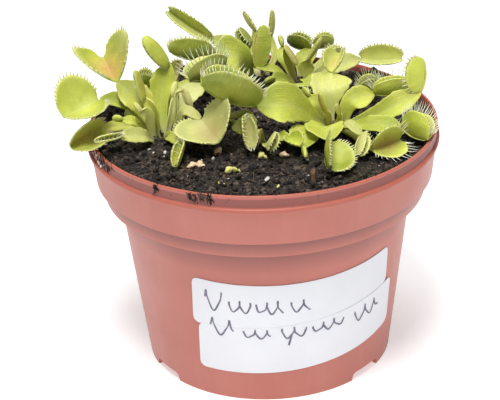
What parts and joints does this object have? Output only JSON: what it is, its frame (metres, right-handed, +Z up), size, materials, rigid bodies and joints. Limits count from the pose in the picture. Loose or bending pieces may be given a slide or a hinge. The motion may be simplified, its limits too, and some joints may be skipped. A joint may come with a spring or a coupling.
{
  "type": "potted venus flytrap",
  "caption": "Venus flytrap with open and closed toothed traps growing in soil in a round stepped plastic nursery pot with blank stickers.",
  "frame": {"origin": "on the surface the pot stands on, under the middle of the whole object's box; the pot's axis is 3.8 mm to +X of it", "axes": "+Z up, -Y towards the front where the stickers are, +X to the viewer's right"},
  "size_m": [0.1276, 0.12, 0.1167],
  "materials": {
    "pot_plastic": "satin",
    "soil_peat": "rough",
    "label_paper": "matte",
    "leaf_green": "satin"
  },
  "bodies": {
    "root": {"label_lower": "label_paper", "label_upper": "label_paper", "leaf_back_edge_on": "leaf_green", "leaf_back_half_open": "leaf_green", "leaf_back_small": "leaf_green", "leaf_back_thin": "leaf_green", "leaf_back_upright": "leaf_green", "leaf_left_banana": "leaf_green", "leaf_left_brown_pair": "leaf_green", "leaf_left_comb": "leaf_green", "leaf_left_dark_back": "leaf_green", "leaf_left_folded": "leaf_green", "leaf_left_fringed": "leaf_green", "leaf_left_hanging": "leaf_green", "leaf_left_hook": "leaf_green", "leaf_left_low": "leaf_green", "leaf_left_low_blade": "leaf_green", "leaf_left_open_back": "leaf_green", "leaf_left_open_front": "leaf_green", "leaf_left_pale": "leaf_green", "leaf_left_round": "leaf_green", "leaf_left_shaded": "leaf_green", "leaf_left_short": "leaf_green", "leaf_left_young": "leaf_green", "leaf_middle_boat": "leaf_green", "leaf_middle_bright": "leaf_green", "leaf_middle_dark": "leaf_green", "leaf_middle_dead": "leaf_green", "leaf_middle_grey": "leaf_green", "leaf_middle_narrow": "leaf_green", "leaf_rear_broad": "leaf_green", "leaf_rear_comb": "leaf_green", "leaf_rear_diamond": "leaf_green", "leaf_rear_far_right": "leaf_green", "leaf_rear_half_open": "leaf_green", "leaf_rear_left_leaf": "leaf_green", "leaf_rear_pale": "leaf_green", "leaf_rear_pink_hook": "leaf_green", "leaf_rear_round": "leaf_green", "leaf_rear_tall": "leaf_green", "leaf_right_back_v": "leaf_green", "leaf_right_big": "leaf_green", "leaf_right_blade_back": "leaf_green", "leaf_right_blade_left": "leaf_green", "leaf_right_bud": "leaf_green", "leaf_right_clam": "leaf_green", "leaf_right_dome": "leaf_green", "leaf_right_front": "leaf_green", "leaf_right_open": "leaf_green", "leaf_right_pale": "leaf_green", "leaf_right_round_back": "leaf_green", "leaf_right_shoulder": "leaf_green", "leaf_right_tall": "leaf_green", "leaf_right_young_red": "leaf_green", "pot": "pot_plastic", "soil": "soil_peat"}
  },
  "joints": []
}
